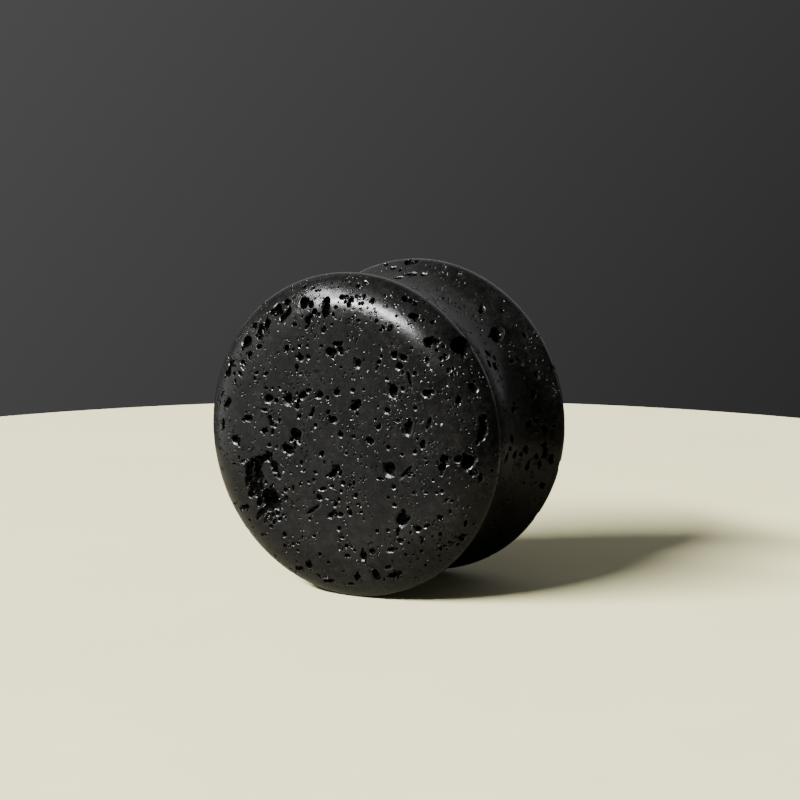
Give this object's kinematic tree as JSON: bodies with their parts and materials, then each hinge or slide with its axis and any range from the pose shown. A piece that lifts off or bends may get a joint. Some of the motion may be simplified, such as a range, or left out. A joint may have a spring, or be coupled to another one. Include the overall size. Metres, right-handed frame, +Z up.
{
  "type": "double-flared stone ear plug",
  "caption": "Solid saddle-shaped ear plug of black vesicular lava stone, with a waist for the ear lobe between two round flares and flat, pitted end faces.",
  "frame": {"origin": "centre of the part's footprint, on the surface that its two flares lie on", "axes": "+Y along the plug's axis from the front face to the rear face, +Z up, +X to the right of one who looks at the front face"},
  "size_m": [0.023, 0.014, 0.023],
  "materials": {
    "lava_stone": "polished black basalt with open round pores, satin gloss on the skin and raw grainy stone inside the pores"
  },
  "bodies": {
    "root": {"stone_plug": "lava_stone"}
  },
  "joints": []
}
